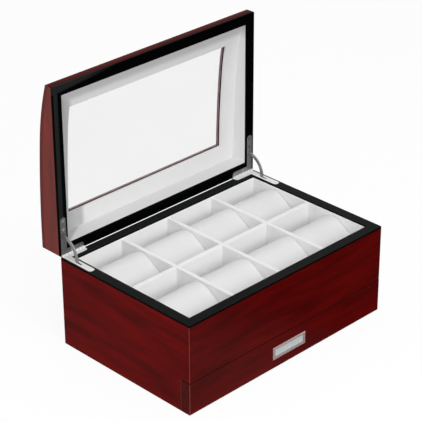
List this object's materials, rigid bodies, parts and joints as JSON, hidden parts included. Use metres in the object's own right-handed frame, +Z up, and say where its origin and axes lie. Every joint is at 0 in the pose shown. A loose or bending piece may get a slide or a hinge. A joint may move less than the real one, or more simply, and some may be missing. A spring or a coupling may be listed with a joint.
{
  "type": "pen and watch box",
  "caption": "Lidded box with lined watch compartments and a pillow in each, an arched lid with a glass window on corner stay hinges, and a front drawer for pens.",
  "frame": {"origin": "centre of the felt underside", "axes": "+Z up, +X along the front to the right, -Y out of the front where the drawer is; the lid stands open at rest"},
  "size_m": [0.32, 0.2477, 0.3309],
  "materials": {
    "rosewood_veneer": "gloss",
    "black_lacquer": "gloss",
    "suede_lining": "matte",
    "pillow_suede": "matte",
    "window_glass": "gloss",
    "felt": "matte",
    "plain_wood": "satin",
    "bumper_rubber": "matte",
    "pull_metal": "satin",
    "pull_inlay": "satin",
    "hinge_metal": "polished"
  },
  "bodies": {
    "base": {"base_felt": "felt", "bottom_panel": "plain_wood", "left_side": "rosewood_veneer", "right_side": "rosewood_veneer", "back_panel": "rosewood_veneer", "upper_front_panel": "rosewood_veneer", "tray_deck": "plain_wood", "base_rim": "black_lacquer", "tray_floor_pad": "suede_lining", "tray_board_front": "suede_lining", "tray_board_back": "suede_lining", "tray_board_left": "suede_lining", "tray_board_right": "suede_lining", "long_divider": "suede_lining", "cross_divider_1": "suede_lining", "cross_divider_2": "suede_lining", "cross_divider_3": "suede_lining", "pillow_front_1": "pillow_suede", "pillow_front_2": "pillow_suede", "pillow_front_3": "pillow_suede", "pillow_front_4": "pillow_suede", "pillow_back_1": "pillow_suede", "pillow_back_2": "pillow_suede", "pillow_back_3": "pillow_suede", "pillow_back_4": "pillow_suede", "drawer_glides": "plain_wood", "drawer_bumpers": "bumper_rubber", "base_hinge_leaf_left": "hinge_metal", "base_hinge_leaf_right": "hinge_metal", "base_hinge_screws": "hinge_metal", "hinge_pins": "hinge_metal"},
    "lid": {"lid_left_rail": "rosewood_veneer", "lid_right_rail": "rosewood_veneer", "lid_back_rail": "rosewood_veneer", "lid_front_rail": "rosewood_veneer", "lid_roof": "rosewood_veneer", "lid_rim": "black_lacquer", "window_pane": "window_glass", "lid_ceiling": "suede_lining", "lid_board_back": "suede_lining", "lid_board_left": "suede_lining", "lid_board_right": "suede_lining", "lid_front_cove": "suede_lining", "lid_hinge_leaf_left": "hinge_metal", "lid_hinge_leaf_right": "hinge_metal", "lid_hinge_screws": "hinge_metal", "stay_rivets": "hinge_metal"},
    "stay_left": {"stay_arm_left": "hinge_metal"},
    "stay_right": {"stay_arm_right": "hinge_metal"},
    "drawer": {"drawer_front": "rosewood_veneer", "drawer_left_side": "plain_wood", "drawer_right_side": "plain_wood", "drawer_back": "plain_wood", "drawer_floor": "plain_wood", "pen_pad": "suede_lining", "pen_ridges": "suede_lining", "pull_frame": "pull_metal", "pull_insert": "pull_inlay", "pull_pins": "hinge_metal"}
  },
  "joints": [
    {"name": "lid_hinge", "type": "hinge", "parent": "base", "child": "lid", "pos_m": [0, 0.10685, 0.1174], "axis": [1, 0, 0], "range_deg": [0, 90]},
    {"name": "stay_left_pivot", "type": "hinge", "parent": "lid", "child": "stay_left", "pos_m": [-0.15345, 0.10935, 0.1427], "axis": [1, 0, 0], "range_deg": [-25.1, 0]},
    {"name": "stay_right_pivot", "type": "hinge", "parent": "lid", "child": "stay_right", "pos_m": [0.15345, 0.10935, 0.1427], "axis": [1, 0, 0], "range_deg": [-25.1, 0]},
    {"name": "drawer_slide", "type": "slide", "parent": "base", "child": "drawer", "axis": [0, -1, 0], "range_m": [0, 0.15]}
  ],
  "couplings": [
    {"joint": "stay_left_pivot", "follows": "lid_hinge", "ratio": -0.27778},
    {"joint": "stay_right_pivot", "follows": "lid_hinge", "ratio": -0.27778}
  ]
}
